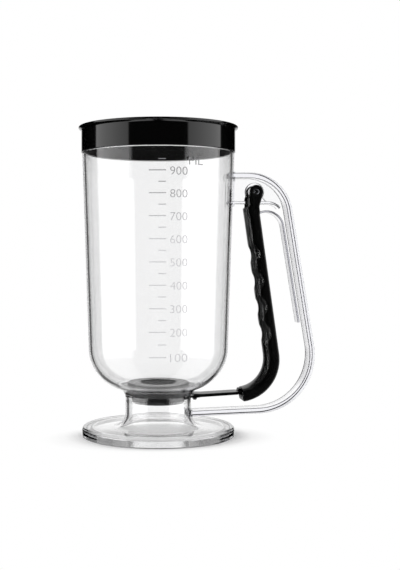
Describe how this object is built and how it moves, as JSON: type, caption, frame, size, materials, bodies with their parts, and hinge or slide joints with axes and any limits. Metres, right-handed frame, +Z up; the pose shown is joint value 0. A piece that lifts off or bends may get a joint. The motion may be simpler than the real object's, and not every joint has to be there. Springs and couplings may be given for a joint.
{
  "type": "pancake batter dispenser",
  "caption": "Clear tapered jar on a hollow pedestal foot with a push-on lid; a sprung trigger in the handle slides a gate under the outlet to let batter out.",
  "frame": {"origin": "on the table, on the jar's axis, at the plane of the ring that the foot stands on", "axes": "+Z up along the jar's axis; +X from the jar towards the handle; the handle, lever and arm lie in the X-Z plane"},
  "size_m": [0.1549, 0.1038, 0.2],
  "materials": {
    "clear_plastic": "polished clear injection-moulded plastic",
    "black_gloss_plastic": "high-gloss moulded",
    "black_satin_plastic": "satin moulded",
    "gray_silicone": "smooth silicone",
    "steel": "bright turned pin"
  },
  "bodies": {
    "jar_body": {"jar": "clear_plastic", "handle_frame": "clear_plastic", "foot": "clear_plastic", "valve_body": "black_satin_plastic", "floor_gasket": "gray_silicone", "valve_nut": "black_satin_plastic", "gate_seal": "gray_silicone", "pivot_pin": "steel"},
    "lid": {"lid": "black_gloss_plastic"},
    "trigger": {"trigger_lever": "black_satin_plastic", "leaf_spring": "clear_plastic"},
    "gate": {"gate_plate": "black_satin_plastic", "valve_arm": "black_satin_plastic"}
  },
  "joints": [
    {"name": "lid_lift", "type": "slide", "parent": "jar_body", "child": "lid", "axis": [0, 0, 1], "range_m": [0, 0.05]},
    {"name": "trigger_pivot", "type": "hinge", "parent": "jar_body", "child": "trigger", "pos_m": [0.0636, 0, 0.1583], "axis": [0, -1, 0], "range_deg": [0, 10], "stiffness_Nm_per_rad": 2, "springref_deg": -8.59, "deforming": ["leaf_spring"]},
    {"name": "gate_slide", "type": "slide", "parent": "jar_body", "child": "gate", "axis": [1, 0, 0], "range_m": [0, 0.0227]}
  ],
  "couplings": [
    {"joint": "gate_slide", "follows": "trigger_pivot", "m_per_rad": 0.1295}
  ]
}
